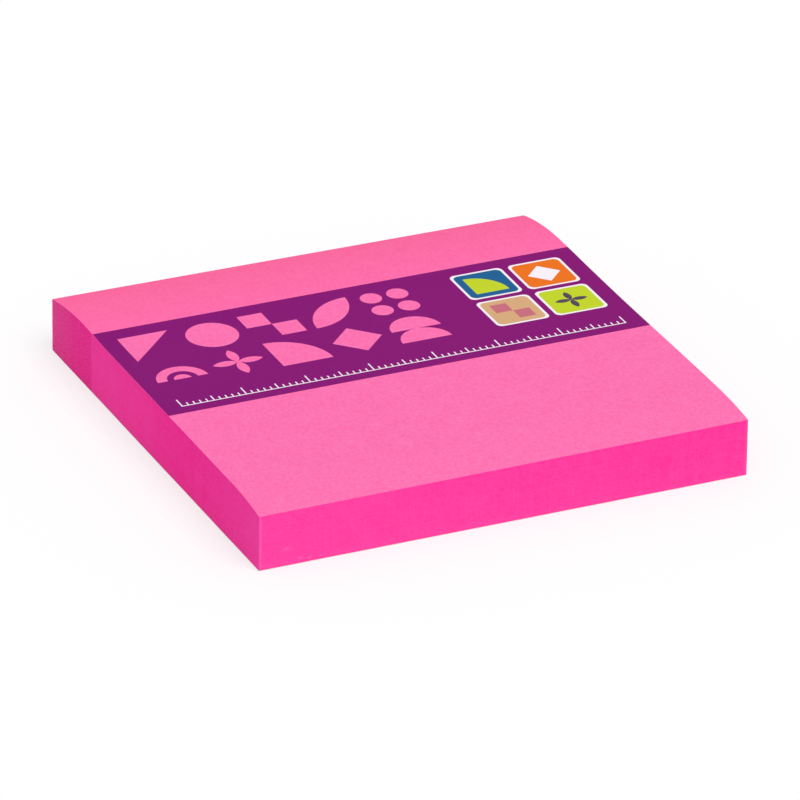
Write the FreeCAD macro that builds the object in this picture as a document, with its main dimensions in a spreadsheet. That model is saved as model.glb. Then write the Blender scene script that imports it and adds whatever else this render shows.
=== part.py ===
# Square pad of sticky notes with a printed film label across its top note.
#
# The pad lies flat on its backing sheet. X runs along the edge that faces the writer, Y runs away
# from the writer towards the gummed edge, and Z points up. The origin is the middle of the pad's
# underside. All sizes are millimetres.
#
# note_sheets: the whole stack of notes, one block. Each note carries a strip of adhesive along its
# back edge. The strips thicken the stack a little there, and the trimming press has pushed the
# front and back edges down, so the block's top is crowned from front to back.
# cover_label: thin printed film that lies on the top note and follows its crown.
# backing_sheet: release paper under the last note, which keeps its adhesive off the desk.

import FreeCAD, Part
import math
import os

import Sketcher

# Alias, value and meaning of each driving dimension.
SIZES = (
    ("pad_width", 76.0, "notes, left to right"),
    ("pad_depth", 76.0, "notes, front to back"),
    ("note_count", 90, "notes in the pad"),
    ("note_thickness", 0.103, "one note, with the air under it"),
    ("adhesive_build", 0.15, "what the adhesive strips add to the stack's height"),
    ("back_roll", 12.0, "length of the pressed back edge"),
    ("back_drop", 1.44, "how far the back edge is pressed below the strips' crest"),
    ("crest_rise", 10.0, "length over which the stack rises onto the adhesive strips"),
    ("front_roll", 10.0, "length of the pressed front edge"),
    ("front_drop", 0.67, "how far the front edge is pressed down"),
    ("backing_thickness", 0.1, "release paper"),
    ("label_depth", 28.1, "film label, front to back"),
    ("label_back_gap", 15.5, "from the pad's back edge to the label"),
    ("label_side_gap", 0.05, "note left showing at each end of the label"),
    ("label_thickness", 0.05, "film label"),
)

# Expressions that several features share.
STACK_HEIGHT = "sizes.note_count * sizes.note_thickness"
LABEL_LENGTH = "(sizes.pad_width - 2 * sizes.label_side_gap)"


def make_sheet(doc):
    """Write the driving dimensions into a spreadsheet and return their values by name."""
    sheet = doc.addObject("Spreadsheet::Sheet", "sizes")
    for row, (alias, value, meaning) in enumerate(SIZES, start=1):
        sheet.set(f"A{row}", meaning)
        sheet.set(f"B{row}", str(value))
        sheet.setAlias(f"B{row}", alias)
    doc.recompute()
    return {alias: sheet.get(alias) for alias, _, _ in SIZES}


def origin_plane(body, role):
    """One of the body's own origin planes, found by its role."""
    return next(feature for feature in body.Origin.OriginFeatures if feature.Role == role)


def level_arc_radius(length, drop):
    """Radius of an arc that starts level and has turned down by drop after length."""
    return (length**2 + drop**2) / (2 * drop)


def draw_stack_outline(sketch, size):
    """Draw the stack's side view, front edge on the left, and bind it to the sheet.

    The underside and the two end walls are straight. The top is level in the middle. It turns down
    to the front edge on one arc, climbs onto the adhesive strips on two equal arcs that form a
    shallow S, and turns down to the back edge on another arc.
    """
    back = size["pad_depth"] / 2
    front = -back
    base = size["backing_thickness"]
    flat = base + size["note_count"] * size["note_thickness"]
    crest = flat + size["adhesive_build"]

    crest_y = back - size["back_roll"]
    rise_y = crest_y - size["crest_rise"]
    front_roll_y = front + size["front_roll"]

    back_radius = level_arc_radius(size["back_roll"], size["back_drop"])
    front_radius = level_arc_radius(size["front_roll"], size["front_drop"])
    rise_radius = level_arc_radius(size["crest_rise"] / 2, size["adhesive_build"] / 2)
    back_turn = math.asin(size["back_roll"] / back_radius)
    front_turn = math.asin(size["front_roll"] / front_radius)
    rise_turn = math.asin(size["crest_rise"] / 2 / rise_radius)
    quarter = math.pi / 2

    def line(y_start, z_start, y_end, z_end):
        start_point = FreeCAD.Vector(y_start, z_start, 0)
        end_point = FreeCAD.Vector(y_end, z_end, 0)
        return sketch.addGeometry(Part.LineSegment(start_point, end_point))

    def arc(y, z, radius, start_angle, end_angle):
        circle = Part.Circle(FreeCAD.Vector(y, z, 0), FreeCAD.Vector(0, 0, 1), radius)
        return sketch.addGeometry(Part.ArcOfCircle(circle, start_angle, end_angle))

    # Arcs run anticlockwise, so the top's arcs start at their back end.
    underside = line(front, base, back, base)
    back_wall = line(back, base, back, crest - size["back_drop"])
    back_roll = arc(crest_y, crest - back_radius, back_radius, quarter - back_turn, quarter)
    rise_head = arc(crest_y, crest - rise_radius, rise_radius, quarter, quarter + rise_turn)
    rise_foot = arc(rise_y, flat + rise_radius, rise_radius, -quarter, -quarter + rise_turn)
    level = line(rise_y, flat, front_roll_y, flat)
    front_roll = arc(
        front_roll_y, flat - front_radius, front_radius, quarter, quarter + front_turn
    )
    front_wall = line(front, flat - size["front_drop"], front, base)

    # Numbers by which a sketch knows a curve's points and its own axes.
    start, end, centre = 1, 2, 3
    horizontal_axis, vertical_axis = -1, -2

    def constrain(*definition):
        return sketch.addConstraint(Sketcher.Constraint(*definition))

    def bind(name, expression, *definition):
        sketch.renameConstraint(constrain(*definition), name)
        sketch.setExpression(f"Constraints.{name}", expression)

    for one, one_end, other, other_end in (
        (underside, end, back_wall, start),
        (back_wall, end, back_roll, start),
        (back_roll, end, rise_head, start),
        (rise_foot, start, level, start),
        (level, end, front_roll, start),
        (front_roll, end, front_wall, start),
        (front_wall, end, underside, start),
    ):
        constrain("Coincident", one, one_end, other, other_end)
    constrain("Tangent", rise_head, end, rise_foot, end)
    constrain("Equal", rise_head, rise_foot)
    constrain("Symmetric", underside, start, underside, end, vertical_axis)
    constrain("Horizontal", level)
    constrain("Vertical", back_wall)
    constrain("Vertical", front_wall)
    # A centre straight above or below an arc's end makes the arc level there.
    constrain("Vertical", back_roll, centre, back_roll, end)
    constrain("Vertical", rise_head, centre, rise_head, start)
    constrain("Vertical", rise_foot, centre, rise_foot, start)
    constrain("Vertical", front_roll, centre, front_roll, start)

    bind("depth", "sizes.pad_depth", "DistanceX", underside, start, underside, end, back - front)
    bind(
        "base", "sizes.backing_thickness",
        "DistanceY", horizontal_axis, start, underside, end, base,
    )
    bind("stack", STACK_HEIGHT, "DistanceY", underside, start, level, end, flat - base)
    bind(
        "adhesive_build", "sizes.adhesive_build",
        "DistanceY", rise_foot, start, rise_head, start, crest - flat,
    )
    bind(
        "back_roll", "sizes.back_roll",
        "DistanceX", back_roll, end, back_roll, start, size["back_roll"],
    )
    bind(
        "back_drop", "sizes.back_drop",
        "DistanceY", back_roll, start, back_roll, end, size["back_drop"],
    )
    bind(
        "crest_rise", "sizes.crest_rise",
        "DistanceX", rise_foot, start, rise_head, start, size["crest_rise"],
    )
    bind(
        "front_roll", "sizes.front_roll",
        "DistanceX", front_roll, end, front_roll, start, size["front_roll"],
    )
    bind(
        "front_drop", "sizes.front_drop",
        "DistanceY", front_roll, end, front_roll, start, size["front_drop"],
    )


def make_stack(doc, name, size):
    """A block of notes: the crowned side view, extruded both ways from the middle."""
    body = doc.addObject("PartDesign::Body", name)
    outline = body.newObject("Sketcher::SketchObject", f"{name}_outline")
    outline.AttachmentSupport = (origin_plane(body, "YZ_Plane"), "")
    outline.MapMode = "FlatFace"
    draw_stack_outline(outline, size)
    block = body.newObject("PartDesign::Pad", f"{name}_block")
    block.Profile = outline
    block.SideType = "Symmetric"
    block.setExpression("Length", "sizes.pad_width")
    return body


def make_backing_sheet(doc):
    """The release paper: a plain sheet, cut flush with the notes."""
    sheet = doc.addObject("Part::Box", "backing_sheet")
    sheet.setExpression("Length", "sizes.pad_width")
    sheet.setExpression("Width", "sizes.pad_depth")
    sheet.setExpression("Height", "sizes.backing_thickness")
    sheet.setExpression("Placement.Base.x", "-sizes.pad_width / 2")
    sheet.setExpression("Placement.Base.y", "-sizes.pad_depth / 2")
    return sheet


def make_cover_label(doc, notes, size):
    """The film label: what lies above the notes and under a twin of them, raised by the film.

    A trimming block, which reaches past the crest, gives the label its outline. The notes shape the
    label's underside and their raised twin shapes its face, so the film follows the crown.
    """
    raised_notes = make_stack(doc, "raised_notes", size)
    raised_notes.setExpression("Placement.Base.z", "sizes.label_thickness")

    trimming_block = doc.addObject("Part::Box", "label_trimming_block")
    trimming_block.setExpression("Length", LABEL_LENGTH)
    trimming_block.setExpression("Width", "sizes.label_depth")
    trimming_block.setExpression(
        "Height", f"{STACK_HEIGHT} + sizes.adhesive_build + 2 * sizes.label_thickness"
    )
    trimming_block.setExpression("Placement.Base.x", f"-{LABEL_LENGTH} / 2")
    trimming_block.setExpression(
        "Placement.Base.y", "sizes.pad_depth / 2 - sizes.label_back_gap - sizes.label_depth"
    )
    trimming_block.setExpression("Placement.Base.z", "sizes.backing_thickness")

    above_notes = doc.addObject("Part::Cut", "block_above_notes")
    above_notes.Base = trimming_block
    above_notes.Tool = notes

    label = doc.addObject("Part::Common", "cover_label")
    label.Base = above_notes
    label.Tool = raised_notes
    return label


def check(doc, pieces):
    """Stop if an object failed to recompute or a piece is not one valid solid."""
    for item in doc.Objects:
        if "Invalid" in item.State or "Error" in item.State:
            raise RuntimeError(f"{item.Label} failed: {item.State}")
    for piece in pieces:
        shape = piece.Shape
        if shape.isNull() or not shape.isValid() or len(shape.Solids) != 1:
            raise RuntimeError(f"{piece.Label} is not one valid solid")


def write(piece):
    """Write a piece to its own file, named after its label, and print its measures."""
    shape = piece.Shape
    shape.exportStep(os.path.join("parts", f"{piece.Label}.step"))
    box = shape.BoundBox
    print(
        f"{piece.Label}: {shape.Volume:.2f} mm3, x {box.XMin:.3f} to {box.XMax:.3f}, "
        f"y {box.YMin:.3f} to {box.YMax:.3f}, z {box.ZMin:.3f} to {box.ZMax:.3f}"
    )


def main():
    """Build the document, check it and write its pieces."""
    doc = FreeCAD.newDocument("sticky_note_pad")
    size = make_sheet(doc)
    notes = make_stack(doc, "note_sheets", size)
    backing = make_backing_sheet(doc)
    label = make_cover_label(doc, notes, size)
    doc.recompute()

    pieces = (notes, label, backing)
    check(doc, pieces)
    os.makedirs("parts", exist_ok=True)
    for piece in pieces:
        write(piece)


main()
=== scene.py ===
"""Looks of a square pad of sticky notes with a printed film label across its top note.

X runs along the edge that faces the writer, Y away from the writer towards the gummed edge, Z up.
Meshes are in metres. Patterns are laid out in millimetres, which the finishes read from each
piece's Object coordinates, or from the wall map that the stack carries.
"""

import logging
import math
from collections.abc import Callable, Mapping, Sequence
from dataclasses import dataclass
from enum import Enum
from functools import reduce

import bpy
import numpy as np
from mathutils import Matrix, Vector


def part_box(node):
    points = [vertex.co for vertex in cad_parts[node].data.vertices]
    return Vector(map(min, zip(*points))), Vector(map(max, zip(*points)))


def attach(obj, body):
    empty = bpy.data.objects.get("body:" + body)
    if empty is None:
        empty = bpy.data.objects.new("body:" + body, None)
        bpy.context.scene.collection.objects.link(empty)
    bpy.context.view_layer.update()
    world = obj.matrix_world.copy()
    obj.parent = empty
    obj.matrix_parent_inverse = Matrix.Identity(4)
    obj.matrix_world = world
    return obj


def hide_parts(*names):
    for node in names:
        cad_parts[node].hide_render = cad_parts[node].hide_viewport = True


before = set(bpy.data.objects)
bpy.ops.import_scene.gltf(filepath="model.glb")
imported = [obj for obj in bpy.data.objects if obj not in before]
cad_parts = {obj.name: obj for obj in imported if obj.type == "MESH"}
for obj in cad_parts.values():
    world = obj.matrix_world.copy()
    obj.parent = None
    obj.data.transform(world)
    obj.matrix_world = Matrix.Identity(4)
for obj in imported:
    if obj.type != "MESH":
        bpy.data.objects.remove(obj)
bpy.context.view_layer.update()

MM = 0.001
MERGE_DIGITS = 5  # decimals of a millimetre that tell one point of a mesh from another
SHARP_EDGE = math.radians(30)
DIAGONAL = math.sqrt(0.5)  # how far a step of 1 along a diagonal goes to the side
WALL_MAP = "wall"  # distance round the stack in millimetres, and height in notes
TEXTURE_MAP = "OFBake"  # the layout on which a flat picture of the piece's finish is drawn

log = logging.getLogger("pad")

Colour = tuple[float, float, float, float]


def grey(level: float) -> Colour:
    """Linear grey, from black at 0 to white at 1."""
    return (level, level, level, 1.0)


def ink(red: int, green: int, blue: int) -> Colour:
    """Linear colour of an sRGB colour.

    Each channel c of 0 to 1 is c / 12.92 up to 0.04045, and ((c + 0.055) / 1.055) ** 2.4 above it.

    Args:
        red: Red, 0 to 255.
        green: Green, 0 to 255.
        blue: Blue, 0 to 255.

    Returns:
        Red, green, blue and an alpha of 1, linear.
    """
    shares = (channel / 255 for channel in (red, green, blue))
    linear = (c / 12.92 if c <= 0.04045 else ((c + 0.055) / 1.055) ** 2.4 for c in shares)
    return (*linear, 1.0)


class Signal:
    """A shader socket in an expression. Arithmetic on it adds the Math nodes that work it out."""

    def __init__(self, graph: "Graph", socket: bpy.types.NodeSocket) -> None:
        """Wraps a socket of a graph."""
        self.graph = graph
        self.socket = socket

    def __add__(self, other: "Term") -> "Signal":
        """self + other."""
        return self.graph.math("ADD", self, other)

    def __radd__(self, other: float) -> "Signal":
        """other + self."""
        return self.graph.math("ADD", other, self)

    def __sub__(self, other: "Term") -> "Signal":
        """self - other."""
        return self.graph.math("SUBTRACT", self, other)

    def __rsub__(self, other: float) -> "Signal":
        """other - self."""
        return self.graph.math("SUBTRACT", other, self)

    def __mul__(self, other: "Term") -> "Signal":
        """self * other."""
        return self.graph.math("MULTIPLY", self, other)

    def __rmul__(self, other: float) -> "Signal":
        """other * self."""
        return self.graph.math("MULTIPLY", other, self)

    def __truediv__(self, other: "Term") -> "Signal":
        """self / other."""
        return self.graph.math("DIVIDE", self, other)

    def __neg__(self) -> "Signal":
        """-self."""
        return self.graph.math("MULTIPLY", self, -1.0)

    def __abs__(self) -> "Signal":
        """Size of self without its sign."""
        return self.graph.math("ABSOLUTE", self)

    def root(self) -> "Signal":
        """Square root of self."""
        return self.graph.math("SQRT", self)

    def wrap(self, low: float, high: float) -> "Signal":
        """Self, less the whole multiple of high - low that brings it between the two."""
        return self.graph.math("WRAP", self, high, low)

    def fold(self, pitch: float) -> "Signal":
        """Distance from self to the nearest multiple of pitch."""
        return abs(self.wrap(-pitch / 2, pitch / 2))

    def least(self, other: "Term") -> "Signal":
        """The smaller of self and other."""
        return self.graph.math("MINIMUM", self, other)

    def most(self, other: "Term") -> "Signal":
        """The larger of self and other."""
        return self.graph.math("MAXIMUM", self, other)

    def ramp(self, start: float, end: float) -> "Signal":
        """0 where self is at start or before it, 1 at end or past it, and smooth between."""
        span = {"Value": self, "From Min": start, "From Max": end}
        return self.graph.result("ShaderNodeMapRange", {"interpolation_type": "SMOOTHSTEP"}, span)


Term = Signal | float
Tint = Signal | Colour


@dataclass(frozen=True)
class Fade:
    """A share that grows smoothly from none at the start to all of it at the end."""

    start: float
    end: float
    share: float = 1.0

    def over(self, value: Signal) -> Signal:
        """The share where something has this value."""
        return value.ramp(self.start, self.end) * self.share


@dataclass(frozen=True)
class Layer:
    """One size of lump in a texture."""

    lumps: float  # in a millimetre
    detail: float  # how many finer layers it carries
    weight: float = 1.0


@dataclass(frozen=True)
class Streak:
    """One size of mark on the stack's wall, drawn out along the notes or across them."""

    along: float  # marks in a millimetre round the stack
    up: float  # marks in a note's thickness
    detail: float  # how many finer layers it carries
    weight: float = 1.0
    blur: float = 0.5  # how strong each finer layer is


class Graph:
    """The node tree of one material or sky, with its coordinates and the nodes added to it."""

    def __init__(self, owner: bpy.types.Material | bpy.types.World) -> None:
        """Empties the owner's tree.

        Args:
            owner: The material or sky.
        """
        owner.use_nodes = True
        self.tree = owner.node_tree
        self.tree.nodes.clear()

    def node(
        self,
        kind: str,
        settings: Mapping[str, object] | None = None,
        sockets: Mapping[str | int, object] | None = None,
    ) -> bpy.types.Node:
        """Adds one node.

        Args:
            kind: The node's type.
            settings: Its own settings, set first.
            sockets: Value or Signal of each input, by name or number.

        Returns:
            The node.
        """
        node = self.tree.nodes.new(kind)
        for name, value in (settings or {}).items():
            setattr(node, name, value)
        for key, value in (sockets or {}).items():
            if isinstance(value, Signal):
                self.tree.links.new(value.socket, node.inputs[key])
            else:
                node.inputs[key].default_value = value
        return node

    def result(self, *request: str | Mapping[str | int, object], output: str | int = 0) -> Signal:
        """One output of a node that is added as node() adds it."""
        return Signal(self, self.node(*request).outputs[output])

    def math(self, operation: str, *terms: Term) -> Signal:
        """Result of a Math node on the terms."""
        return self.result("ShaderNodeMath", {"operation": operation}, dict(enumerate(terms)))

    def vector(self, x: Term, y: Term) -> Signal:
        """A vector with these first two components, and a third of 0."""
        return self.result("ShaderNodeCombineXYZ", {}, {0: x, 1: y})

    def parts(self, vector: Signal) -> tuple[Signal, Signal, Signal]:
        """The three components of a vector."""
        outputs = self.node("ShaderNodeSeparateXYZ", {}, {0: vector}).outputs
        return Signal(self, outputs[0]), Signal(self, outputs[1]), Signal(self, outputs[2])

    def place(self) -> Signal:
        """The point on the piece, in millimetres."""
        scale = {0: self.result("ShaderNodeTexCoord", output="Object"), "Scale": 1 / MM}
        return self.result("ShaderNodeVectorMath", {"operation": "SCALE"}, scale)

    def wall(self) -> tuple[Signal, Signal]:
        """Distance round the stack in millimetres, and height in notes."""
        return self.parts(self.result("ShaderNodeUVMap", {"uv_map": WALL_MAP}))[:2]

    def noise(self, vector: Signal, scale: float, detail: float, blur: float = 0.5) -> Signal:
        """Soft noise of about 0 to 1.

        Args:
            vector: Where it is read.
            scale: Lumps per unit of the vector.
            detail: How many finer layers it has.
            blur: How strong each finer layer is.

        Returns:
            The noise.
        """
        sockets = {"Vector": vector, "Scale": scale, "Detail": detail, "Roughness": blur}
        return self.result("ShaderNodeTexNoise", {}, sockets)

    def texture(self, place: Signal, *layers: Layer) -> Signal:
        """Soft noises added up.

        Args:
            place: The point on the piece.
            layers: Their sizes and weights.

        Returns:
            The weighted sum.
        """
        parts = [self.noise(place, each.lumps, each.detail) * each.weight for each in layers]
        return sum(parts[1:], parts[0])

    def blend(self, share: Term, below: Tint, above: Tint) -> Signal:
        """Colour that goes from below to above as share goes from 0 to 1."""
        sockets = {0: share, 6: below, 7: above}
        return self.result("ShaderNodeMix", {"data_type": "RGBA"}, sockets, output=2)


@dataclass(frozen=True)
class Finish:
    """A surface finish. Its fields are what stays the same all over it."""

    name: str
    roughness: float
    specular: float
    relief: float  # height of the finest relief, in metres

    def colour(self, graph: Graph) -> Signal:
        """Colour over the surface."""
        raise NotImplementedError

    def height(self, graph: Graph) -> Signal:
        """Relief over the surface, 0 to 1."""
        raise NotImplementedError

    def material(self) -> bpy.types.Material:
        """Makes the material.

        Returns:
            A material whose colour and relief follow the finish's own patterns.
        """
        material = bpy.data.materials.new(self.name)
        graph = Graph(material)
        relief = {"Height": self.height(graph), "Distance": self.relief, "Strength": 1.0}
        skin = {
            "Base Color": self.colour(graph),
            "Roughness": self.roughness,
            "Specular IOR Level": self.specular,
            "Normal": graph.result("ShaderNodeBump", {}, relief),
        }
        shader = graph.result("ShaderNodeBsdfPrincipled", {}, skin)
        graph.node("ShaderNodeOutputMaterial", {}, {0: shader})
        return material


@dataclass(frozen=True)
class NoteFace(Finish):
    """Flat of an uncoated bright pink note: clouds of fibre, a fine grain and a few flecks."""

    name: str = "note_face"
    roughness: float = 0.9
    specular: float = 0.15
    relief: float = 0.006 * MM
    plain: Colour = ink(252, 104, 169)
    # Painted shade: the next two colours darken the top over the gum and on towards the back,
    # where the crown turns away from the light
    gum_zone: Colour = ink(253, 97, 162)
    painted_shade_back: Colour = ink(255, 90, 148)
    fibre: Colour = ink(255, 150, 208)
    fleck: Colour = ink(250, 84, 154)
    gum: Fade = Fade(19.0, 22.0)  # along Y, in millimetres, as is the painted shade's fall
    # Painted shade that deepens on towards the back
    painted_shade_fall: Fade = Fade(19.0, 38.0)
    clouds: tuple[Layer, ...] = (Layer(0.33, 3.0, 0.2), Layer(1.5, 1.0, 0.3), Layer(2.5, 1.0, 0.5))
    contrast: Fade = Fade(0.3, 0.7)
    fibre_share: float = 0.18
    fibre_range: float = 0.36  # how far that share varies
    gummed_range: float = 0.23  # and over the gum
    specks: Layer = Layer(1.7, 1.0)
    fleck_share: Fade = Fade(0.68, 0.76, 0.4)

    def colour(self, graph: Graph) -> Signal:
        """Colour of the paper, more even over the gum, with painted shade that deepens it over the
        gum and on towards the back.

        The share of fibre is its mean + (clouds - 0.5) * its range.

        Args:
            graph: The material's graph.

        Returns:
            Pink with pale fibre in clouds of 3 mm and 0.7 mm and grain of 0.4 mm, and flecks.
        """
        place = graph.place()
        _, y, _ = graph.parts(place)
        gum = self.gum.over(y)
        # Painted shade: deeper over the gum and on towards the back, where the top turns from the
        # light
        paper = graph.blend(gum, self.plain, self.gum_zone)
        paper = graph.blend(self.painted_shade_fall.over(y), paper, self.painted_shade_back)
        clouds = self.contrast.over(graph.texture(place, *self.clouds))
        spread = self.fibre_range - gum * (self.fibre_range - self.gummed_range)
        paper = graph.blend((clouds - 0.5) * spread + self.fibre_share, paper, self.fibre)
        flecks = self.fleck_share.over(graph.texture(place, self.specks))
        return graph.blend(flecks, paper, self.fleck)

    def height(self, graph: Graph) -> Signal:
        """Tooth of the paper, 0.12 mm across."""
        return graph.noise(graph.place(), scale=8.0, detail=3.0, blur=0.6)


@dataclass(frozen=True)
class Scuff:
    """A pale rub on the stack's front wall, in millimetres."""

    x: float
    z: float
    length: float
    height: float
    strength: float


@dataclass(frozen=True)
class CutEdge(Finish):
    """The stack's trimmed wall: note edges with the knife's marks across them."""

    name: str = "cut_edge"
    roughness: float = 0.85
    specular: float = 0.1
    relief: float = 0.012 * MM
    deep: Colour = ink(255, 36, 148)
    bright: Colour = ink(255, 74, 168)
    gum_zone: Colour = ink(233, 34, 137)
    dusty: Colour = ink(222, 98, 150)
    # Pale of the scuffs, and of the painted highlight beside the upright corners
    worn_and_highlight: Colour = ink(255, 128, 190)
    # Painted shade: the blue of the shade that the left wall stands in
    painted_shade_blue: Colour = ink(255, 56, 210)
    side: float = 76.0

    # Streaks along the notes, the knife's across them, and lumps, in tone and relief
    streaks: tuple[Streak, ...] = (Streak(0.1, 0.8, 1.0, 0.6), Streak(0.02, 0.14, 2.0, 0.4))
    knife: tuple[Streak, ...] = (Streak(2.2, 0.015, 2.0, 0.5), Streak(0.35, 0.01, 2.0, 0.5))
    streak_tone: float = 0.2
    knife_tone: float = 0.3
    clouds: Layer = Layer(1.1, 3.0, 0.2)
    grain: Layer = Layer(3.4, 1.0, 0.35)
    contrast: Fade = Fade(0.25, 0.8)
    streak_relief: float = 0.35
    knife_relief: float = 0.35
    fibres: Layer = Layer(6.0, 2.0, 0.3)

    # How much paler the wall gets along X, Y and Z, in millimetres. Along Z it is painted light:
    # paler towards the foot and darker towards the top, against the table's contact shade
    darkness: float = 0.42
    towards_back: Fade = Fade(-14.0, 17.0, 0.38)
    towards_front: Fade = Fade(-11.0, -46.0, 0.54)
    at_front: Fade = Fade(-35.0, -39.0, 0.14)
    # Painted light: paler at the foot
    painted_light_at_foot: Fade = Fade(1.3, 0.6, 0.12)
    leftwards: float = 0.0035  # for each millimetre
    # Painted light: paler downwards from mid height, for each millimetre
    painted_light_downwards: float = 0.025
    mid_height: float = 4.3
    # Painted shade: the left wall tinted blue
    painted_shade_left: Fade = Fade(-37.0, -37.9, 0.08)

    # Gum, its dust, the scuffs, and the pale strips beside the upright corners, which are a
    # painted highlight with some real fibre burr. Fades of specks, dabs and breaks are over their
    # noise
    glue: Fade = Fade(22.8, 23.2)
    glue_specks: Fade = Fade(0.25, 0.75)
    glue_least: float = 0.05
    dusty_end: Fade = Fade(27.0, 37.0)
    dabs: Streak = Streak(1.6, 0.16, 3.0, blur=0.7)
    dab_share: Fade = Fade(0.33, 0.72, 0.46)
    dust_least: float = 0.09
    # Painted highlight, with some real fibre burr, in strips beside the upright corners
    highlight_after_corner: Fade = Fade(0.6, 0.1, 0.3)  # over the distance from the corner
    highlight_before_corner: Fade = Fade(-0.6, -0.02, 0.18)
    right_half: Fade = Fade(-1.0, 1.0)
    blotches: Layer = Layer(1.6, 2.0)
    breaks: Layer = Layer(3.0, 1.0)
    break_share: Fade = Fade(0.35, 0.65)
    front_wall: Fade = Fade(-37.7, -37.9)
    scuff_rim: Fade = Fade(1.1, 0.2)  # over shares of its size
    scuffs: tuple[Scuff, ...] = (
        Scuff(-33.7, 2.7, 0.8, 0.5, 0.4),
        Scuff(-31.7, 0.9, 0.5, 0.4, 0.45),
        Scuff(-30.3, 0.65, 0.35, 0.4, 0.45),
        Scuff(-28.5, 0.8, 0.3, 0.4, 0.3),
        Scuff(36.6, 3.35, 0.9, 0.2, 0.2),
        Scuff(35.6, 1.4, 0.7, 0.3, 0.18),
    )

    def marks(self, graph: Graph, streaks: Sequence[Streak]) -> Signal:
        """Marks of several sizes added up.

        Args:
            graph: The material's graph.
            streaks: Their sizes and weights.

        Returns:
            The weighted sum.
        """
        along, notes = graph.wall()
        parts = []
        for each in streaks:
            place = graph.vector(along * each.along, notes * each.up)
            parts.append(graph.noise(place, 1.0, each.detail, each.blur) * each.weight)
        return sum(parts[1:], parts[0])

    def wear_and_highlight(self, graph: Graph) -> Signal:
        """Share of the wall that is pale: a painted highlight with some fibre burr beside its
        upright corners, and a few scuffs.

        A scuff fades with sqrt(dx * dx + dz * dz), in shares of its length and height.

        Args:
            graph: The material's graph.

        Returns:
            The share, 0 to 1.
        """
        place = graph.place()
        x, y, z = graph.parts(place)
        # Painted highlight, with some fibre burr, beside the upright corners
        past = graph.wall()[0].wrap(0.0, self.side)
        before = self.highlight_before_corner.over(past - self.side) * self.right_half.over(x)
        pale_share = self.highlight_after_corner.over(past).most(before)
        pale_share = pale_share * (graph.texture(place, self.blotches) + 0.5)
        broken = self.break_share.over(graph.texture(place, self.breaks)) * self.front_wall.over(y)
        for scuff in self.scuffs:
            dx = (x - scuff.x) / scuff.length
            dz = (z - scuff.z) / scuff.height
            spot = self.scuff_rim.over((dx * dx + dz * dz).root())
            pale_share = pale_share.most(spot * broken * scuff.strength)
        return pale_share

    def dust(self, graph: Graph) -> Signal:
        """Share of the wall that is dusty: the gummed end, in dabs along the notes.

        Args:
            graph: The material's graph.

        Returns:
            The share, 0 to 1.
        """
        _, y, _ = graph.parts(graph.place())
        dabs = self.dab_share.over(self.marks(graph, [self.dabs]))
        return self.dusty_end.over(y) * (dabs + self.dust_least)

    def colour(self, graph: Graph) -> Signal:
        """Grain, streaks and knife marks, with slow changes of tone along the walls.

        Args:
            graph: The material's graph.

        Returns:
            Pink that is darker along the gum, dusty at its far end and paler where it is scuffed,
            with painted light that pales it towards the foot, a painted highlight with some fibre
            burr beside its upright corners, and painted shade that makes the left wall a touch
            bluer.
        """
        place = graph.place()
        x, y, z = graph.parts(place)
        tone = self.marks(graph, self.streaks) * self.streak_tone
        tone = tone + self.marks(graph, self.knife) * self.knife_tone
        tone = tone + graph.texture(place, self.clouds, self.grain)
        slow = self.towards_back.over(y) + self.towards_front.over(y) + self.at_front.over(y)
        # Painted light: paler towards the foot, darker towards the top
        slow = slow + self.painted_light_at_foot.over(z) - (z - self.mid_height) * self.painted_light_downwards
        level = self.contrast.over(tone) + slow - x * self.leftwards - self.darkness
        body = graph.blend(level.most(0.0).least(1.0), self.deep, self.bright)
        # Painted shade: a touch of blue on the left wall
        body = graph.blend(self.painted_shade_left.over(x), body, self.painted_shade_blue)
        specks = self.glue_specks.over(graph.noise(place, self.grain.lumps, self.grain.detail))
        body = graph.blend(self.glue.over(y) * (specks + self.glue_least), body, self.gum_zone)
        body = graph.blend(self.dust(graph), body, self.dusty)
        # Scuffs, and the painted highlight beside the upright corners
        return graph.blend(self.wear_and_highlight(graph), body, self.worn_and_highlight)

    def height(self, graph: Graph) -> Signal:
        """Relief of the wall: the notes' own edges, the knife's marks and fibres.

        Args:
            graph: The material's graph.

        Returns:
            The relief, 0 to 1.
        """
        edges = self.marks(graph, self.streaks) * self.streak_relief
        cuts = self.marks(graph, self.knife) * self.knife_relief
        return edges + cuts + graph.texture(graph.place(), self.fibres)


@dataclass(frozen=True)
class ReleasePaper(Finish):
    """Off-white paper with a slight sheen."""

    name: str = "release_paper"
    roughness: float = 0.55
    specular: float = 0.3
    relief: float = 0.004 * MM
    shade: Colour = ink(232, 229, 220)
    light: Colour = ink(244, 242, 235)
    clouds: tuple[Layer, ...] = (Layer(0.5, 3.0, 0.6), Layer(2.5, 2.0, 0.4))
    contrast: Fade = Fade(0.3, 0.7)

    def colour(self, graph: Graph) -> Signal:
        """Clouds of fibre of 2 mm and 0.4 mm."""
        clouds = self.contrast.over(graph.texture(graph.place(), *self.clouds))
        return graph.blend(clouds, self.shade, self.light)

    def height(self, graph: Graph) -> Signal:
        """Fine tooth, 0.15 mm across."""
        return graph.noise(graph.place(), scale=6.5, detail=2.0)


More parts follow.
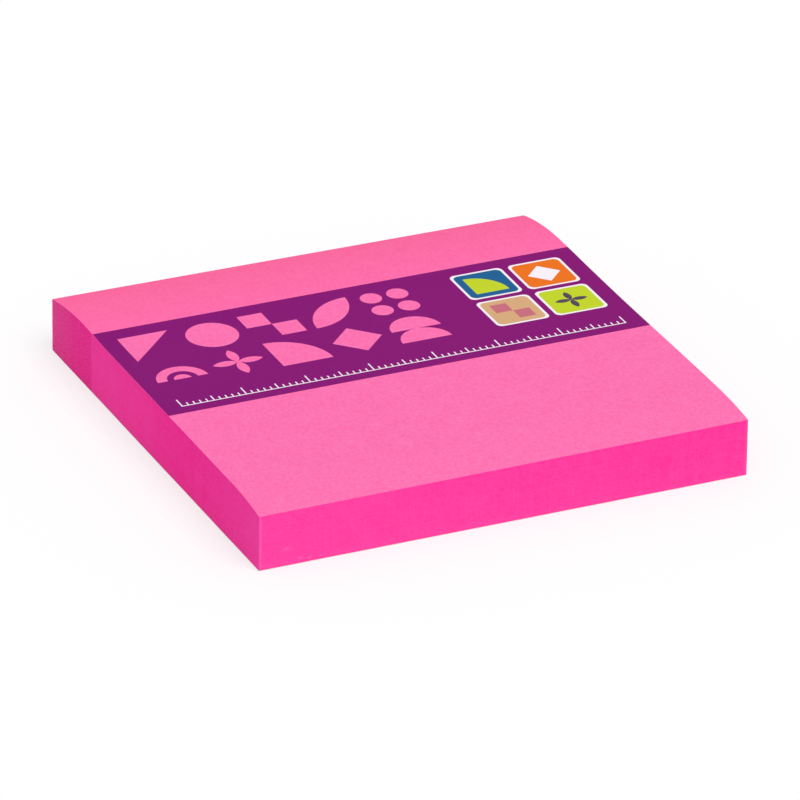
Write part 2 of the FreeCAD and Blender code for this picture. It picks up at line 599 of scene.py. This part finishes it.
class Motif(Enum):
    """A simple printed shape that fills a square cell."""

    DISC = "disc"
    QUARTER = "quarter disc"
    LEAF = "leaf"
    PETALS = "four petals"
    DIAMOND = "diamond"
    WEDGE = "half square"
    FOUR_DOTS = "four dots"
    ARCH = "arch"
    DOMES = "two half discs"
    CHECKS = "two squares corner to corner"

    def edge(self, x: Signal, y: Signal, half: float) -> Signal:
        """Distance to the shape's edge, below 0 inside it.

        Args:
            x: Distance right of the cell's middle, in millimetres.
            y: Distance above it.
            half: Half the cell's side.

        Returns:
            The signed distance, in millimetres.
        """
        if self is Motif.DISC:
            return disc(x, y, half)
        if self is Motif.QUARTER:
            return disc(x + half, y + half, 2 * half).most(square(x, y, half))
        if self is Motif.LEAF:
            return disc(x + half, y - half, 2 * half).most(disc(x - half, y + half, 2 * half))
        if self is Motif.PETALS:
            u, v, r = abs(x + y) * DIAGONAL, abs(x - y) * DIAGONAL, half * DIAGONAL
            return disc(u - r, v, r).most(disc(u, v - r, r))
        if self is Motif.DIAMOND:
            return (abs(x) + abs(y) - half) * DIAGONAL
        if self is Motif.WEDGE:
            return ((x - y) * DIAGONAL).most(square(x, y, half))
        if self is Motif.FOUR_DOTS:
            out, dot = half * 0.54, half * 0.42
            return disc(abs(x) - out, abs(y) - out, dot)
        if self is Motif.ARCH:
            foot, band, bead = y + half / 2, half * 0.2, half * 0.34
            ring = abs(disc(x, foot, half - band)) - band
            return ring.least(disc(x, foot, bead)).most(-foot)
        if self is Motif.DOMES:
            return disc(x, y.wrap(0.0, half), half).most(square(x, y, half))
        quarter = half / 2
        upper = square(x + quarter, y - quarter, quarter)
        return upper.least(square(x - quarter, y + quarter, quarter))


def disc(x: Signal, y: Signal, radius: float) -> Signal:
    """Signed distance to a disc about 0: sqrt(x * x + y * y) - radius."""
    return (x * x + y * y).root() - radius


def square(x: Signal, y: Signal, half: float) -> Signal:
    """Signed distance to a square about 0: the larger of |x| and |y|, less half."""
    return abs(x).most(abs(y)) - half


@dataclass(frozen=True)
class Tile:
    """One coloured tile of the label: its middle, ground, and the motif on it."""

    x: float
    y: float
    ground: Colour
    motif: Motif
    figure: Colour


PURPLE = ink(132, 9, 113)
PALE_PURPLE = ink(142, 24, 124)
PAPER_WHITE = ink(250, 240, 248)
BLUE = ink(26, 95, 145)
ORANGE = ink(236, 115, 25)
LIME = ink(195, 212, 40)
ROSE = ink(200, 110, 125)
SLATE = ink(80, 70, 85)
TAN = ink(215, 170, 125)


@dataclass(frozen=True)
class LabelPrint(Finish):
    """Clear film printed purple. Shapes left out of the purple show the pink note under it."""

    name: str = "label_print"
    roughness: float = 0.5
    specular: float = 0.03
    relief: float = 0.002 * MM
    note: NoteFace = NoteFace()
    clouds: Layer = Layer(0.8, 3.0)
    cloud_share: Fade = Fade(0.3, 0.7, 0.06)
    waves: Layer = Layer(0.5, 1.0, 0.8)
    tooth: Layer = Layer(8.0, 2.0, 0.2)
    softness: float = 0.05
    pitch: float = 9.4
    half_motif: float = 3.9
    upper_y: float = 15.9
    first_x: float = -31.4
    rows: tuple[tuple[Motif, ...], ...] = (
        (Motif.WEDGE, Motif.DISC, Motif.CHECKS, Motif.LEAF, Motif.FOUR_DOTS),
        (Motif.ARCH, Motif.PETALS, Motif.QUARTER, Motif.DIAMOND, Motif.DOMES),
    )
    half_tile: float = 4.2
    half_figure: float = 2.604
    tile_round: float = 0.9
    keyline: float = 0.4
    tiles: tuple[Tile, ...] = (
        Tile(21.6, 15.9, BLUE, Motif.QUARTER, LIME),
        Tile(31.0, 15.9, ORANGE, Motif.DIAMOND, PAPER_WHITE),
        Tile(21.6, 6.5, TAN, Motif.CHECKS, ROSE),
        Tile(31.0, 6.5, LIME, Motif.PETALS, SLATE),
    )
    scale_left: float = -35.0
    scale_length: float = 70.0
    scale_foot: float = -3.6
    tick_width: float = 0.2
    ticks: tuple[tuple[float, float], ...] = ((1.0, 0.9), (5.0, 1.5), (10.0, 2.2))

    def fill(self, edge: Signal) -> Signal:
        """1 inside a shape and 0 outside it, from the distance to its edge."""
        return edge.ramp(self.softness / 2, -self.softness / 2)

    def knocked_out(self, x: Signal, y: Signal) -> Signal:
        """Distance to the nearest shape that shows the note: rows of motifs, a pitch apart.

        Args:
            x: Place from left to right, in millimetres.
            y: Place from front to back.

        Returns:
            The signed distance, in millimetres.
        """
        shapes = []
        for down, row in enumerate(self.rows):
            above = y - (self.upper_y - self.pitch * down)
            for along, motif in enumerate(row):
                beside = x - (self.first_x + self.pitch * along)
                shapes.append(motif.edge(beside, above, self.half_motif))
        return reduce(Signal.least, shapes)

    def tick_scale(self, x: Signal, y: Signal) -> Signal:
        """Distance to the nearest stroke of the millimetre scale: a base line and its ticks.

        Args:
            x: Place from left to right, in millimetres.
            y: Place from front to back.

        Returns:
            The signed distance, in millimetres.
        """
        along = x - self.scale_left
        above = y - self.scale_foot
        strokes = abs(above) - self.tick_width / 2
        for pitch, height in self.ticks:
            stroke = (along.fold(pitch) - self.tick_width / 2).most(above - height).most(-above)
            strokes = strokes.least(stroke)
        ends = abs(along - self.scale_length / 2) - (self.scale_length + self.tick_width) / 2
        return strokes.most(ends)

    def tile_edge(self, x: Signal, y: Signal, half: float) -> Signal:
        """Distance to a square with rounded corners.

        Args:
            x: Distance right of the square's middle, in millimetres.
            y: Distance above it.
            half: Half the square's side.

        Returns:
            The distance, in millimetres, below 0 inside the square.
        """
        inner = half - self.tile_round
        over_x = (abs(x) - inner).most(0.0)
        over_y = (abs(y) - inner).most(0.0)
        return disc(over_x, over_y, self.tile_round)

    def colour(self, graph: Graph) -> Signal:
        """Print of the label.

        Args:
            graph: The material's graph.

        Returns:
            Purple, then the knocked-out shapes, the tiles with their keylines, and the scale.
        """
        place = graph.place()
        x, y, _ = graph.parts(place)
        clouds = self.cloud_share.over(graph.texture(place, self.clouds))
        colour = graph.blend(clouds, PURPLE, PALE_PURPLE)
        colour = graph.blend(self.fill(self.knocked_out(x, y)), colour, self.note.colour(graph))
        for tile in self.tiles:
            dx, dy = x - tile.x, y - tile.y
            rim = self.fill(self.tile_edge(dx, dy, self.half_tile))
            face = self.fill(self.tile_edge(dx, dy, self.half_tile - self.keyline))
            figure = self.fill(tile.motif.edge(dx, dy, self.half_figure))
            colour = graph.blend(rim, colour, PAPER_WHITE)
            colour = graph.blend(face, colour, tile.ground)
            colour = graph.blend(figure, colour, tile.figure)
        return graph.blend(self.fill(self.tick_scale(x, y)), colour, PAPER_WHITE)

    def height(self, graph: Graph) -> Signal:
        """Slight waviness of the film, 2 mm across, with the paper's tooth showing through."""
        return graph.texture(graph.place(), self.waves, self.tooth)


@dataclass(frozen=True)
class Crown:
    """The pressed stack's top: its side view, a little unlike at its left and right ends."""

    half_width: float
    front: float
    back: float
    crest: float
    build: float = 0.15 * MM
    back_roll: float = 12 * MM
    back_drop: float = 1.44 * MM
    rise: float = 10 * MM
    front_roll: float = 10 * MM
    front_drop: float = 0.67 * MM
    front_lean: float = 0.13 * MM  # how much less the front edge is pressed at its right end
    build_lean: float = 0.1 * MM  # how much less the strips add at the right end
    back_lean: float = 0.14 * MM  # how much more the back edge is pressed at its right end
    wave: float = 0.12 * MM  # how far the right side swells in front and sags behind
    wave_crest: float = -25 * MM
    wave_length: float = 60 * MM

    @staticmethod
    def fall(along: np.ndarray, length: float, drop: np.ndarray) -> np.ndarray:
        """How far an arc that starts level has turned down.

        The arc's radius is R = (length^2 + drop^2) / (2 drop), and it falls R - sqrt(R^2 - t^2),
        with t the distance along, held between 0 and length.

        Args:
            along: Distance from the arc's level start.
            length: The arc's length along the same way.
            drop: Its fall over that length.

        Returns:
            The fall at each distance.
        """
        radius = (length**2 + drop**2) / (2 * drop)
        held = np.clip(along, 0.0, length)
        return radius - np.sqrt(radius**2 - held**2)

    def height(self, x: np.ndarray, y: np.ndarray) -> np.ndarray:
        """Height of the stack's top.

        The level middle, less the front arc's fall, plus two equal arcs of half the rise that
        climb onto the adhesive strips, less the back arc's fall behind the crest. Each fall and
        the climb change along x by their lean, times x / half width. In front of the climb there
        is a wave * r^2 * cos(2 pi (y - its crest) / its length), with r from 0 at the left side
        to 1 at the right.

        Args:
            x: Distance from the pad's middle to the right.
            y: Distance from the pad's middle towards the gummed edge.

        Returns:
            The height above the surface that the pad lies on.
        """
        across = x / self.half_width
        crest_y = self.back - self.back_roll
        build = self.build - self.build_lean * across
        half = self.rise / 2
        foot = self.fall(y - (crest_y - self.rise), half, build / 2)
        climb = foot + build / 2 - self.fall(crest_y - y, half, build / 2)
        front_drop = self.front_drop - self.front_lean * across
        front = self.fall(self.front + self.front_roll - y, self.front_roll, front_drop)
        back = self.fall(y - crest_y, self.back_roll, self.back_drop + self.back_lean * across)
        phase = 2 * np.pi * (y - self.wave_crest) / self.wave_length
        wave = self.wave * ((across + 1) / 2) ** 2 * np.cos(phase) * (1 - climb / build)
        return self.crest - self.build - front + climb - back + wave


@dataclass(frozen=True)
class Outline:
    """A rectangle with rounded corners, walked anticlockwise from its front left corner.

    Its runs keep their number of stations whatever the corners' radii, so that outlines of
    several heights join into one wall.
    """

    low: tuple[float, float]
    high: tuple[float, float]
    across: int
    along: int
    arc: int = 3

    @property
    def starts(self) -> np.ndarray:
        """Column at which each run starts, and the last column."""
        return np.cumsum([0] + [self.across + self.arc, self.along + self.arc] * 2)

    def walk(self, radius: np.ndarray) -> tuple[np.ndarray, np.ndarray, np.ndarray]:
        """Points, outward directions and distances round, with the first point again at the end.

        On run k, from corner k to the next, the point is start + d * (r + s * (length - r - r')),
        with s from 0 to 1. On the corner after it, the point is centre + r' * m, where m turns
        from the run's outward direction to the next run's, and the distance round grows evenly
        with the angle from r' before the square corner to r' past it.

        Args:
            radius: Corner radii, one row of four for each outline, front left corner first.

        Returns:
            A row of points for each outline, one row of outward directions for all of them, and a
            row of distances round for each outline.
        """
        (x0, y0), (x1, y1) = self.low, self.high
        corners = np.array([(x0, y0), (x1, y0), (x1, y1), (x0, y1)])
        ways = np.array([(1.0, 0.0), (0.0, 1.0), (-1.0, 0.0), (0.0, -1.0)])
        angle = np.linspace(0.0, np.pi / 2, self.arc + 2)[1:-1]
        points, outward, around = [], [], []
        passed = 0.0
        for run in range(4):
            following = (run + 1) % 4
            way, turned = ways[run], ways[following]
            normal = np.array([way[1], -way[0]])
            length = np.abs(corners[following] - corners[run]).sum()
            stations = self.across if run % 2 == 0 else self.along
            start, end = radius[:, run, None], radius[:, following, None]
            reach = start + np.linspace(0.0, 1.0, stations) * (length - start - end)
            points.append(corners[run] + reach[..., None] * way)
            outward.append(np.tile(normal, (stations, 1)))
            around.append(passed + reach)
            spoke = np.outer(np.cos(angle), normal) + np.outer(np.sin(angle), way)
            centre = corners[following] + end[..., None] * (turned - way)
            points.append(centre + end[..., None] * spoke)
            outward.append(spoke)
            passed += length
            around.append(passed + end * (angle / (np.pi / 4) - 1))
        points.append(points[0][:, :1])
        outward.append(outward[0][:1])
        around.append(passed + radius[:, :1])
        return np.concatenate(points, axis=1), np.concatenate(outward), np.hstack(around)


@dataclass
class Patch:
    """A grid of points that becomes one stretch of a piece's surface.

    Rows and columns run so that column by row points out of the piece.
    """

    points: np.ndarray
    wall: np.ndarray
    texture: np.ndarray
    finish: int = 0
    smooth: bool = False


def quads(rows: int, columns: int) -> np.ndarray:
    """Corner numbers of a grid's squares.

    With n = row * columns + column, a square is n, n + 1, n + 1 + columns, n + columns.

    Args:
        rows: Rows of points.
        columns: Points in a row.

    Returns:
        Four numbers for each square.
    """
    first = (np.arange(rows - 1)[:, None] * columns + np.arange(columns - 1)).ravel()
    return np.stack([first, first + 1, first + 1 + columns, first + columns], axis=1)


def join(name: str, patches: Sequence[Patch], finishes: Sequence[Finish]) -> bpy.types.Object:
    """Makes one piece of several patches, whose points are merged where they meet.

    Points within a hundredth of a micrometre are one. A square with two corners in one place
    becomes a triangle.

    Args:
        name: The piece's name.
        patches: Its surface.
        finishes: Its finishes, which the patches number.

    Returns:
        The piece, at the origin, riding on the pad.
    """
    places = np.concatenate([patch.points.reshape(-1, 3) for patch in patches])
    _, kept, merged = np.unique(
        np.round(places / MM, MERGE_DIGITS), axis=0, return_index=True, return_inverse=True
    )
    merged = merged.ravel()
    counts = [patch.points.shape[0] * patch.points.shape[1] for patch in patches]
    starts = np.concatenate([[0], np.cumsum(counts)])
    squares = np.concatenate(
        [quads(*patch.points.shape[:2]) + start for patch, start in zip(patches, starts)]
    )
    per_patch = [(p.points.shape[0] - 1) * (p.points.shape[1] - 1) for p in patches]
    finish = np.repeat([patch.finish for patch in patches], per_patch)
    smooth = np.repeat([patch.smooth for patch in patches], per_patch)

    welded = merged[squares]
    kept_corner = welded != np.roll(welded, -1, axis=1)
    sides = kept_corner.sum(axis=1)
    solid = sides >= 3
    kept_corner &= solid[:, None]
    corners = welded[kept_corner]
    source = squares[kept_corner]
    sides = sides[solid]

    mesh = bpy.data.meshes.new(name)
    mesh.vertices.add(len(kept))
    mesh.vertices.foreach_set("co", places[kept].ravel())
    mesh.loops.add(len(corners))
    mesh.loops.foreach_set("vertex_index", corners)
    mesh.polygons.add(len(sides))
    mesh.polygons.foreach_set("loop_start", np.cumsum(sides) - sides)
    mesh.polygons.foreach_set("material_index", finish[solid])
    mesh.polygons.foreach_set("use_smooth", smooth[solid])
    mesh.update(calc_edges=True)
    for map_name, layout in ((WALL_MAP, "wall"), (TEXTURE_MAP, "texture")):
        layer = mesh.uv_layers.new(name=map_name)
        spots = np.concatenate([getattr(patch, layout).reshape(-1, 2) for patch in patches])
        layer.uv.foreach_set("vector", spots[source].ravel())
    if mesh.validate():
        raise ValueError(f"{name} has faces that don't hold together")
    mesh.set_sharp_from_angle(angle=SHARP_EDGE)
    for each in finishes:
        mesh.materials.append(each.material())

    piece = bpy.data.objects.new(name, mesh)
    bpy.context.scene.collection.objects.link(piece)
    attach(piece, "root")
    log.info("%s: %d points, %d faces", name, len(kept), len(sides))
    return piece


@dataclass(frozen=True)
class Page:
    """Where a flat texture holds a piece: its two caps, and its wall in four strips above them.

    All are shares of the page. A cap has its lower left corner and its longest side.
    """

    upper: tuple[float, float, float] = (0.006, 0.006, 0.464)
    under: tuple[float, float, float] = (0.482, 0.006, 0.2)
    foot: float = 0.482
    strip: float = 0.122
    gap: float = 0.006

    def cap(self, spots: np.ndarray, outline: Outline, upper: bool) -> np.ndarray:
        """Texture places of a cap: corner + (spot - low) / (outline's longest side) * side.

        Args:
            spots: Points of the cap.
            outline: The piece's outline.
            upper: Whether the cap faces up.

        Returns:
            The place of each point.
        """
        low, high = np.array(outline.low), np.array(outline.high)
        left, bottom, side = self.upper if upper else self.under
        return np.array([left, bottom]) + (spots[..., :2] - low) / (high - low).max() * side

    def wall(self, along: np.ndarray, up: np.ndarray, run: int) -> np.ndarray:
        """Texture places of one run of the wall: the page's gap + share * the strip's size.

        Args:
            along: Share of the run at each point.
            up: Share of the wall's height.
            run: Number of the run.

        Returns:
            The place of each point.
        """
        foot = self.foot + run * (self.strip + self.gap)
        return np.stack([self.gap + along * (1 - 2 * self.gap), foot + up * self.strip], axis=-1)


Height = Callable[[np.ndarray, np.ndarray], np.ndarray]


@dataclass(frozen=True)
class Slab:
    """A closed piece that lies flat: a wall of outlines one above another, and two caps."""

    outline: Outline
    page: Page = Page()
    rim: float = 1.0 * MM  # how far inside the edge a cap's regular grid begins

    def wall(
        self, rings: np.ndarray, around: np.ndarray, levels: np.ndarray, finish: int
    ) -> list[Patch]:
        """The four patches of the wall, each a run and the corner after it.

        Args:
            rings: Points of the outlines, lowest outline first.
            around: Distance of each point round its outline.
            levels: Height of each outline in its own units.
            finish: Number of the wall's finish.

        Returns:
            The patches, whose texture strips run from one corner to the next.
        """
        patches = []
        rise = (levels - levels[0]) / (levels[-1] - levels[0])
        for run, (start, end) in enumerate(zip(self.outline.starts, self.outline.starts[1:])):
            span = slice(start, end + 1)
            distance = around[:, span]
            along = (distance - distance[:, :1]) / (distance[:, -1:] - distance[:, :1])
            up, level = (np.broadcast_to(row[:, None], along.shape) for row in (rise, levels))
            spots = np.stack([distance / MM, level], axis=-1)
            patches.append(Patch(rings[:, span], spots, self.page.wall(along, up, run), finish))
        return patches

    def cap(self, ring: np.ndarray, height: Height, upper: bool, finish: int) -> list[Patch]:
        """The two patches of one cap.

        A regular grid fills the outline up to the rim, and a strip joins its border to the ring.
        Round a corner, the strip's inner points are all the grid's own corner.

        Args:
            ring: The wall's first or last row of points.
            height: Gives the cap's height from x and y.
            upper: Whether the cap faces up.
            finish: Number of the cap's finish.

        Returns:
            The grid and the strip.
        """
        outline = self.outline
        (x0, y0), (x1, y1) = outline.low, outline.high
        x = np.linspace(x0 + self.rim, x1 - self.rim, outline.across)
        y = np.linspace(y0 + self.rim, y1 - self.rim, outline.along)
        rows, columns = np.meshgrid(y, x, indexing="ij")
        grid = np.stack([columns, rows, height(columns, rows)], axis=-1)
        inner = []
        for border in (grid[0], grid[:, -1], grid[-1, ::-1], grid[::-1, 0]):
            inner += [border, np.repeat(border[-1:], outline.arc, axis=0)]
        strip = np.stack([ring, np.concatenate(inner + [grid[0, :1]])])
        patches = []
        for points in (grid, strip):
            faced = points if upper else points[:, ::-1]
            spots = self.page.cap(faced, outline, upper)
            patches.append(Patch(faced, faced[..., :2] / MM, spots, finish, smooth=upper))
        return patches


def level_at(z: float) -> Height:
    """The height of a level cap."""
    return lambda x, y: np.full_like(x, z)


@dataclass(frozen=True)
class NoteStack:
    """The block of notes, trimmed on all four sides. Each note's edge is a step of its own."""

    low: Vector
    high: Vector
    across: int = 29
    along: int = 57
    notes: int = 90
    bevel: float = 0.06  # of a note's thickness, where its edges meet its neighbours'
    corner: float = 0.08 * MM
    inset: float = 0.018 * MM
    drift: float = 0.004 * MM
    turn: float = 0.0001
    ripple: float = 0.004 * MM
    ripple_lengths: tuple[float, ...] = (31 * MM, 17 * MM, 9.5 * MM, 5.3 * MM, 3.1 * MM)
    seed: int = 7
    face: Finish = NoteFace()
    edge: Finish = CutEdge()

    @property
    def crown(self) -> Crown:
        """The stack's top."""
        return Crown(self.high.x, self.low.y, self.high.y, self.high.z)

    def levels(self) -> np.ndarray:
        """Heights of the outlines: the lower and the upper edge of each note.

        Returns:
            The heights, in notes, lowest first.
        """
        note = np.arange(self.notes)
        levels = np.stack([note + self.bevel, note + 1 - self.bevel], axis=1).ravel()
        levels[[0, -1]] = 0.0, self.notes
        return levels

    def depth(self, points: np.ndarray, outward: np.ndarray, around: np.ndarray) -> np.ndarray:
        """How far each point lies inside the trimmed size.

        It is the inset, less how far the note's own small shift and turn about the gummed edge
        move the point outwards, plus sine ripples round the stack that the knife left. It is
        never below 0.

        Args:
            points: Points of the outlines.
            outward: Outward direction at each column.
            around: Distance of each point round its outline.

        Returns:
            The depth of each point.
        """
        random = np.random.default_rng(self.seed)
        shift = np.repeat(random.normal(0.0, self.drift, (self.notes, 2)), 2, axis=0)
        turn = np.repeat(random.normal(0.0, self.turn, self.notes), 2)[:, None]
        arm_x, arm_y = points[..., 0], points[..., 1] - self.high.y
        moved = shift @ outward.T + turn * (arm_x * outward[:, 1] - arm_y * outward[:, 0])
        phases = random.uniform(0.0, 2 * np.pi, len(self.ripple_lengths))
        ripples = [
            np.sin(2 * np.pi * around / length + phase)
            for length, phase in zip(self.ripple_lengths, phases)
        ]
        return np.clip(self.inset - moved + self.ripple * sum(ripples), 0.0, None)

    def build(self) -> bpy.types.Object:
        """Makes the stack.

        A ring's height is base + level / notes * (crown's height - base), so the notes fan closer
        together where the top is pressed down.

        Returns:
            The stack, in place of its plain solid.
        """
        outline = Outline(tuple(self.low[:2]), tuple(self.high[:2]), self.across, self.along)
        slab = Slab(outline)
        levels = self.levels()
        points, outward, around = outline.walk(np.full((len(levels), 4), self.corner))
        points = points - self.depth(points, outward, around)[..., None] * outward
        base = self.low.z
        share = levels[:, None] / self.notes
        height = base + share * (self.crown.height(points[..., 0], points[..., 1]) - base)
        rings = np.concatenate([points, height[..., None]], axis=-1)
        patches = slab.wall(rings, around, levels, finish=1)
        patches += slab.cap(rings[-1], self.crown.height, upper=True, finish=0)
        patches += slab.cap(rings[0], level_at(base), upper=False, finish=0)
        stack = join("note_stack", patches, (self.face, self.edge))
        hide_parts("note_sheets")
        return stack


@dataclass(frozen=True)
class CoverLabel:
    """The printed film, which lies on the top note and follows its crown."""

    low: Vector
    high: Vector
    crown: Crown
    across: int = 41
    along: int = 25
    arc: int = 2
    thickness: float = 0.05 * MM
    corner: float = 0.1 * MM
    page: Page = Page((0.008, 0.008, 0.984), (0.008, 0.386, 0.984), 0.77, 0.03, 0.008)
    print: Finish = LabelPrint()

    def build(self) -> bpy.types.Object:
        """Makes the label: two outlines, on the crown and a film's thickness above it.

        Returns:
            The label, in place of its plain solid.
        """
        ends = tuple(self.low[:2]), tuple(self.high[:2])
        outline = Outline(*ends, self.across, self.along, self.arc)
        slab = Slab(outline, self.page)
        points, _, around = outline.walk(np.full((2, 4), self.corner))
        levels = np.array([0.0, self.thickness])
        height = self.crown.height(points[..., 0], points[..., 1]) + levels[:, None]
        rings = np.concatenate([points, height[..., None]], axis=-1)
        patches = slab.wall(rings, around, levels / MM, finish=0)
        patches += slab.cap(rings[1], self.face_height, upper=True, finish=0)
        patches += slab.cap(rings[0], self.crown.height, upper=False, finish=0)
        label = join("film_label", patches, (self.print,))
        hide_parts("cover_label")
        return label

    def face_height(self, x: np.ndarray, y: np.ndarray) -> np.ndarray:
        """Height of the label's printed face: the crown's, plus the film's thickness."""
        return self.crown.height(x, y) + self.thickness


@dataclass(frozen=True)
class BackingSheet:
    """The release paper under the last note, trimmed with the stack."""

    low: Vector
    high: Vector
    stations: int = 41
    corner: float = 0.25 * MM
    inset: float = 0.05 * MM
    ripple: float = 0.03 * MM
    short_wave: float = 2.7 * MM
    long_wave: float = 7.1 * MM
    page: Page = Page((0.008, 0.008, 0.485), (0.507, 0.008, 0.485), 0.51, 0.03, 0.008)
    paper: Finish = ReleasePaper()

    def build(self) -> bpy.types.Object:
        """Makes the sheet.

        Its edge wanders inside the stack's by inset + ripple * sin(d / short wave) *
        sin(d / long wave + 1), with d the distance round.

        Returns:
            The sheet, in place of its plain solid.
        """
        ends = tuple(self.low[:2]), tuple(self.high[:2])
        outline = Outline(*ends, self.stations, self.stations)
        slab = Slab(outline, self.page)
        points, outward, around = outline.walk(np.full((2, 4), self.corner))
        waves = np.sin(around / self.short_wave) * np.sin(around / self.long_wave + 1.0)
        points = points - (self.inset + self.ripple * waves)[..., None] * outward
        levels = np.array([self.low.z, self.high.z])
        height = np.broadcast_to(levels[:, None, None], (*around.shape, 1))
        rings = np.concatenate([points, height], axis=-1)
        patches = slab.wall(rings, around, levels / MM, finish=0)
        for ring, level, upper in zip(rings, levels, (False, True)):
            patches += slab.cap(ring, level_at(level), upper, finish=0)
        sheet = join("release_sheet", patches, (self.paper,))
        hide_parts("backing_sheet")
        return sheet


@dataclass(frozen=True)
class Studio:
    """A white table under even soft light, and the camera."""

    azimuth: float = -24.569
    elevation: float = 26.553
    roll: float = 0.733
    distance: float = 1.35444
    target: tuple[float, float, float] = (-1.928 * MM, -5.838 * MM, 5.0 * MM)
    lens: float = 423.67
    sensor: float = 36.0
    nearest: float = 0.05
    farthest: float = 20.0
    table_half: float = 6.0
    table_drop: float = 0.05 * MM  # keeps the table clear of the pad's underside
    table_white: float = 0.9
    seen_white: float = 0.35  # the part of it that a shadow dims for the eye
    sky: float = 0.62
    sun: float = 1.43
    sun_from: tuple[float, float, float] = (0.13, -0.53, 0.84)
    sun_spread: float = 40.0

    def seen(self, graph: Graph) -> Signal:
        """1 for what the camera sees, straight or in a gloss or through glass."""
        kinds = ("Is Camera Ray", "Is Glossy Ray", "Is Transmission Ray")
        return reduce(Signal.most, (graph.result("ShaderNodeLightPath", output=k) for k in kinds))

    def table(self) -> bpy.types.Object:
        """Makes the table top, which shows white where nothing shades it.

        Returns:
            The table, kept off the part.
        """
        material = bpy.data.materials.new("white_table")
        graph = Graph(material)
        seen = self.seen(graph)
        skin = {
            "Base Color": graph.blend(seen, grey(self.table_white), grey(self.seen_white)),
            "Roughness": 1.0,
            "Specular IOR Level": 0.0,
            "Emission Color": graph.blend(seen, grey(0.0), grey(1.0)),
            "Emission Strength": 1.0 - self.seen_white,
        }
        shader = graph.result("ShaderNodeBsdfPrincipled", {}, skin)
        graph.node("ShaderNodeOutputMaterial", {}, {0: shader})
        ends = ((-1, -1), (1, -1), (1, 1), (-1, 1))
        corners = [(x * self.table_half, y * self.table_half, -self.table_drop) for x, y in ends]
        mesh = bpy.data.meshes.new("table")
        mesh.from_pydata(corners, [], [(0, 1, 2, 3)])
        mesh.materials.append(material)
        table = bpy.data.objects.new("table", mesh)
        bpy.context.scene.collection.objects.link(table)
        return table

    def light(self) -> None:
        """Sets an even sky, white to the eye, and a broad sun in front of the pad."""
        world = bpy.data.worlds.new("studio")
        bpy.context.scene.world = world
        graph = Graph(world)
        level = 1.0 + (self.seen(graph) - 1.0) * (1.0 - self.sky)
        sky = graph.result("ShaderNodeBackground", {}, {"Color": grey(1.0), "Strength": level})
        graph.node("ShaderNodeOutputWorld", {}, {0: sky})
        lamp = bpy.data.lights.new("sun", "SUN")
        lamp.energy = self.sun
        lamp.angle = math.radians(self.sun_spread)
        sun = bpy.data.objects.new("sun", lamp)
        towards = Vector(self.sun_from)
        sun.matrix_world = towards.to_track_quat("Z", "Y").to_matrix().to_4x4()
        bpy.context.scene.collection.objects.link(sun)

    def camera(self) -> None:
        """Places the camera: it looks at the target from its azimuth and elevation, rolled."""
        azimuth, elevation = math.radians(self.azimuth), math.radians(self.elevation)
        reach = math.cos(elevation)
        back = Vector(
            (math.sin(azimuth) * reach, -math.cos(azimuth) * reach, math.sin(elevation))
        )
        right = Vector((math.cos(azimuth), math.sin(azimuth), 0.0))
        turn = Matrix.Rotation(math.radians(self.roll), 3, back)
        right = turn @ right
        axes = Matrix((right, back.cross(right), back)).transposed()
        place = Vector(self.target) + back * self.distance
        data = bpy.data.cameras.new("camera")
        data.lens = self.lens
        data.sensor_width = self.sensor
        data.clip_start = self.nearest
        data.clip_end = self.farthest
        camera = bpy.data.objects.new("camera", data)
        camera.matrix_world = Matrix.Translation(place) @ axes.to_4x4()
        bpy.context.scene.collection.objects.link(camera)
        bpy.context.scene.camera = camera


def main() -> None:
    """Builds the pad and its studio."""
    bpy.context.scene.view_settings.view_transform = "Standard"
    studio = Studio()
    studio.camera()
    studio.light()
    studio.table()
    stack = NoteStack(*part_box("note_sheets"))
    stack.build()
    CoverLabel(*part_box("cover_label"), stack.crown).build()
    BackingSheet(*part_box("backing_sheet")).build()


if __name__ == "__main__":
    logging.basicConfig(level=logging.INFO, format="%(name)s: %(message)s")
    main()
